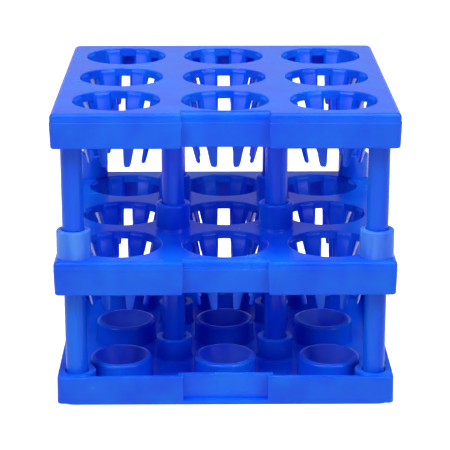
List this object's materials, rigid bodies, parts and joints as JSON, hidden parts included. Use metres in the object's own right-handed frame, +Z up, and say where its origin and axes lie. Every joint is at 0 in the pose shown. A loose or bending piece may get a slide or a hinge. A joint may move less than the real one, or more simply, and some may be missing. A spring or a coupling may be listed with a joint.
{
  "type": "test tube rack",
  "caption": "Three-tier plastic tube rack: cupped base tray, two skirted plates with round holes and flexible gripping fingers, joined by round posts in open sockets.",
  "frame": {"origin": "middle of the base tray's underside, where the rack rests", "axes": "+Z up; -Y is the front, the side with the set-back middle part; +X to the right seen from the front"},
  "size_m": [0.1176, 0.1176, 0.104],
  "materials": {
    "moulded_blue": "satin moulded polypropylene, slightly translucent",
    "post_blue": "smooth satin moulded polypropylene"
  },
  "bodies": {
    "base": {"base_tray": "moulded_blue"},
    "middle_tier": {"middle_plate": "moulded_blue", "lower_corner_post_front_left": "post_blue", "lower_inner_post_front_left": "post_blue", "lower_corner_post_front_right": "post_blue", "lower_inner_post_front_right": "post_blue", "lower_corner_post_back_left": "post_blue", "lower_inner_post_back_left": "post_blue", "lower_corner_post_back_right": "post_blue", "lower_inner_post_back_right": "post_blue"},
    "top_tier": {"top_plate": "moulded_blue", "upper_corner_post_front_left": "post_blue", "upper_inner_post_front_left": "post_blue", "upper_corner_post_front_right": "post_blue", "upper_inner_post_front_right": "post_blue", "upper_corner_post_back_left": "post_blue", "upper_inner_post_back_left": "post_blue", "upper_corner_post_back_right": "post_blue", "upper_inner_post_back_right": "post_blue"}
  },
  "joints": [
    {"name": "middle_tier_lift", "type": "slide", "parent": "base", "child": "middle_tier", "axis": [0, 0, 1], "range_m": [0, 0.014]},
    {"name": "top_tier_lift", "type": "slide", "parent": "middle_tier", "child": "top_tier", "axis": [0, 0, 1], "range_m": [0, 0.014]}
  ]
}
